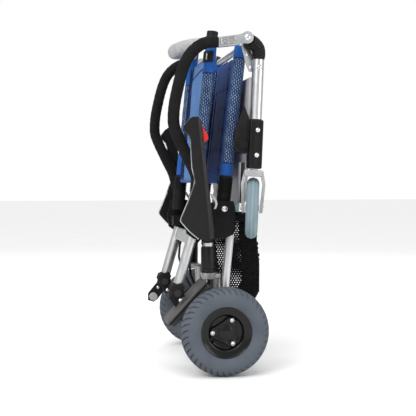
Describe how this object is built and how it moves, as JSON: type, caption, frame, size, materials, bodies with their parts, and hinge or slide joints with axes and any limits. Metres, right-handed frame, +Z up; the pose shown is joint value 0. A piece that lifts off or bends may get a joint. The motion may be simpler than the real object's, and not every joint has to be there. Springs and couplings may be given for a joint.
{
  "type": "transport wheelchair",
  "caption": "Folding powered transport wheelchair, shown folded upright on its drive wheels, with swing-forward arm loops, sling seat, casters and footplate.",
  "frame": {"origin": "centre of the bounding box on the floor under the folded chair", "axes": "+X the way the user faces, +Y the user's left, +Z up"},
  "size_m": [0.304, 0.576, 0.98],
  "materials": {
    "satin_aluminium": "satin anodised tube",
    "cast_aluminium": "cast, light grey",
    "black_plastic": "fine-grained moulded black",
    "foam": "closed-cell foam sleeve",
    "battery_case": "moulded dark grey",
    "mesh_black": "open hexagonal polyester mesh",
    "drive_tyre": "blue-grey non-marking rubber, moulded tread",
    "rim_black": "black moulded rim",
    "caster_tyre": "pale blue-grey solid rubber",
    "seat_fabric": "navy woven nylon",
    "back_fabric": "light blue woven nylon",
    "grey_panel": "light grey sheet",
    "light_grip": "light grey grip, fine texture",
    "red_plastic": "moulded red"
  },
  "bodies": {
    "chassis": {"axle_beam": "satin_aluminium", "carrier_plate": "satin_aluminium", "battery_pack": "battery_case", "under_seat_basket": "mesh_black", "rear_leg_left": "satin_aluminium", "rear_leg_right": "satin_aluminium", "gearbox_left": "cast_aluminium", "gearbox_right": "cast_aluminium", "drive_motor_left": "black_plastic", "drive_motor_right": "black_plastic", "motor_cable_left": "black_plastic", "motor_cable_right": "black_plastic", "hinge_casting_left": "black_plastic", "hinge_casting_right": "black_plastic", "carrier_rail_left": "satin_aluminium", "carrier_rail_right": "satin_aluminium", "rear_knuckle_left": "black_plastic", "rear_knuckle_right": "black_plastic"},
    "stand": {"parking_stand": "satin_aluminium"},
    "seat": {"seat_rail_left": "seat_fabric", "seat_rail_right": "seat_fabric", "seat_sling": "seat_fabric", "seat_front_bar": "satin_aluminium"},
    "backrest": {"back_post_left": "back_fabric", "back_post_right": "back_fabric", "back_sling": "back_fabric", "push_handle": "light_grip"},
    "arms": {"arm_loop_left": "foam", "arm_loop_right": "foam", "arm_bar_left": "satin_aluminium", "arm_bar_right": "satin_aluminium", "side_panel_left": "black_plastic", "side_panel_right": "black_plastic"},
    "front_frame": {"front_leg_left": "satin_aluminium", "front_leg_right": "satin_aluminium", "leg_elbow_left": "black_plastic", "leg_elbow_right": "black_plastic", "caster_housing_left": "black_plastic", "caster_housing_right": "black_plastic", "calf_panel": "grey_panel"},
    "footplate": {"footplate": "grey_panel"},
    "drive_wheel_left": {"drive_tyre_left": "drive_tyre", "drive_rim_left": "rim_black"},
    "caster_swivel_left": {"caster_fork_left": "satin_aluminium"},
    "caster_wheel_left": {"caster_tyre_left": "caster_tyre", "caster_hub_left": "black_plastic"},
    "release_tab_left": {"release_tab_left": "red_plastic"},
    "lock_hook_left": {"lock_hook_left": "light_grip"},
    "drive_wheel_right": {"drive_tyre_right": "drive_tyre", "drive_rim_right": "rim_black"},
    "caster_swivel_right": {"caster_fork_right": "satin_aluminium"},
    "caster_wheel_right": {"caster_tyre_right": "caster_tyre", "caster_hub_right": "black_plastic"},
    "release_tab_right": {"release_tab_right": "red_plastic"},
    "lock_hook_right": {"lock_hook_right": "light_grip"}
  },
  "joints": [
    {"name": "fold", "type": "hinge", "parent": "chassis", "child": "arms", "pos_m": [-0.0312, 0, 0.4508], "axis": [0, 1, 0], "range_deg": [0, 63.7]},
    {"name": "seat_fold", "type": "hinge", "parent": "chassis", "child": "seat", "pos_m": [0.03, 0, 0.47], "axis": [0, 1, 0], "range_deg": [0, 80.6]},
    {"name": "backrest_recline", "type": "hinge", "parent": "chassis", "child": "backrest", "pos_m": [-0.051, 0, 0.47], "axis": [0, 1, 0], "range_deg": [-17, 0]},
    {"name": "front_leg_fold", "type": "hinge", "parent": "arms", "child": "front_frame", "pos_m": [0.0864, 0, 0.952], "axis": [0, 1, 0], "range_deg": [-66.1, 0]},
    {"name": "footplate_flip", "type": "hinge", "parent": "front_frame", "child": "footplate", "pos_m": [0.106, 0, 0.487], "axis": [0, 1, 0], "range_deg": [0, 90]},
    {"name": "stand_pivot", "type": "hinge", "parent": "chassis", "child": "stand", "pos_m": [0.022, 0, 0.126], "axis": [0, 1, 0], "range_deg": [-85, 0]},
    {"name": "drive_spin_left", "type": "hinge", "parent": "chassis", "child": "drive_wheel_left", "pos_m": [0.022, 0.25, 0.126], "axis": [0, 1, 0], "continuous": true},
    {"name": "caster_swivel_left", "type": "hinge", "parent": "front_frame", "child": "caster_swivel_left", "pos_m": [0.10809, 0.235, 0.584], "axis": [0.0404, 0, 0.9992], "range_deg": [-25, 224]},
    {"name": "caster_spin_left", "type": "hinge", "parent": "caster_swivel_left", "child": "caster_wheel_left", "pos_m": [0.11125, 0.20086, 0.47178], "axis": [0.9747, 0.2198, -0.0394], "continuous": true},
    {"name": "tab_press_left", "type": "hinge", "parent": "arms", "child": "release_tab_left", "pos_m": [-0.0415, 0.2615, 0.661], "axis": [0, 1, 0], "range_deg": [0, 6], "stiffness_Nm_per_rad": 0.3},
    {"name": "hook_swing_left", "type": "hinge", "parent": "arms", "child": "lock_hook_left", "pos_m": [-0.016, 0.249, 0.508], "axis": [0, 1, 0], "range_deg": [-40, 0], "stiffness_Nm_per_rad": 0.3},
    {"name": "drive_spin_right", "type": "hinge", "parent": "chassis", "child": "drive_wheel_right", "pos_m": [0.022, -0.25, 0.126], "axis": [0, 1, 0], "continuous": true},
    {"name": "caster_swivel_right", "type": "hinge", "parent": "front_frame", "child": "caster_swivel_right", "pos_m": [0.10809, -0.235, 0.584], "axis": [0.0404, 0, 0.9992], "range_deg": [-224, 25]},
    {"name": "caster_spin_right", "type": "hinge", "parent": "caster_swivel_right", "child": "caster_wheel_right", "pos_m": [0.11125, -0.20086, 0.47178], "axis": [-0.9747, 0.2198, 0.0394], "continuous": true},
    {"name": "tab_press_right", "type": "hinge", "parent": "arms", "child": "release_tab_right", "pos_m": [-0.0415, -0.2615, 0.661], "axis": [0, 1, 0], "range_deg": [0, 6], "stiffness_Nm_per_rad": 0.3},
    {"name": "hook_swing_right", "type": "hinge", "parent": "arms", "child": "lock_hook_right", "pos_m": [-0.016, -0.249, 0.508], "axis": [0, 1, 0], "range_deg": [-40, 0], "stiffness_Nm_per_rad": 0.3}
  ],
  "couplings": [
    {"joint": "seat_fold", "follows": "fold", "ratio": 1.265},
    {"joint": "backrest_recline", "follows": "fold", "ratio": -0.2665},
    {"joint": "front_leg_fold", "follows": "fold", "ratio": -1.0364}
  ]
}
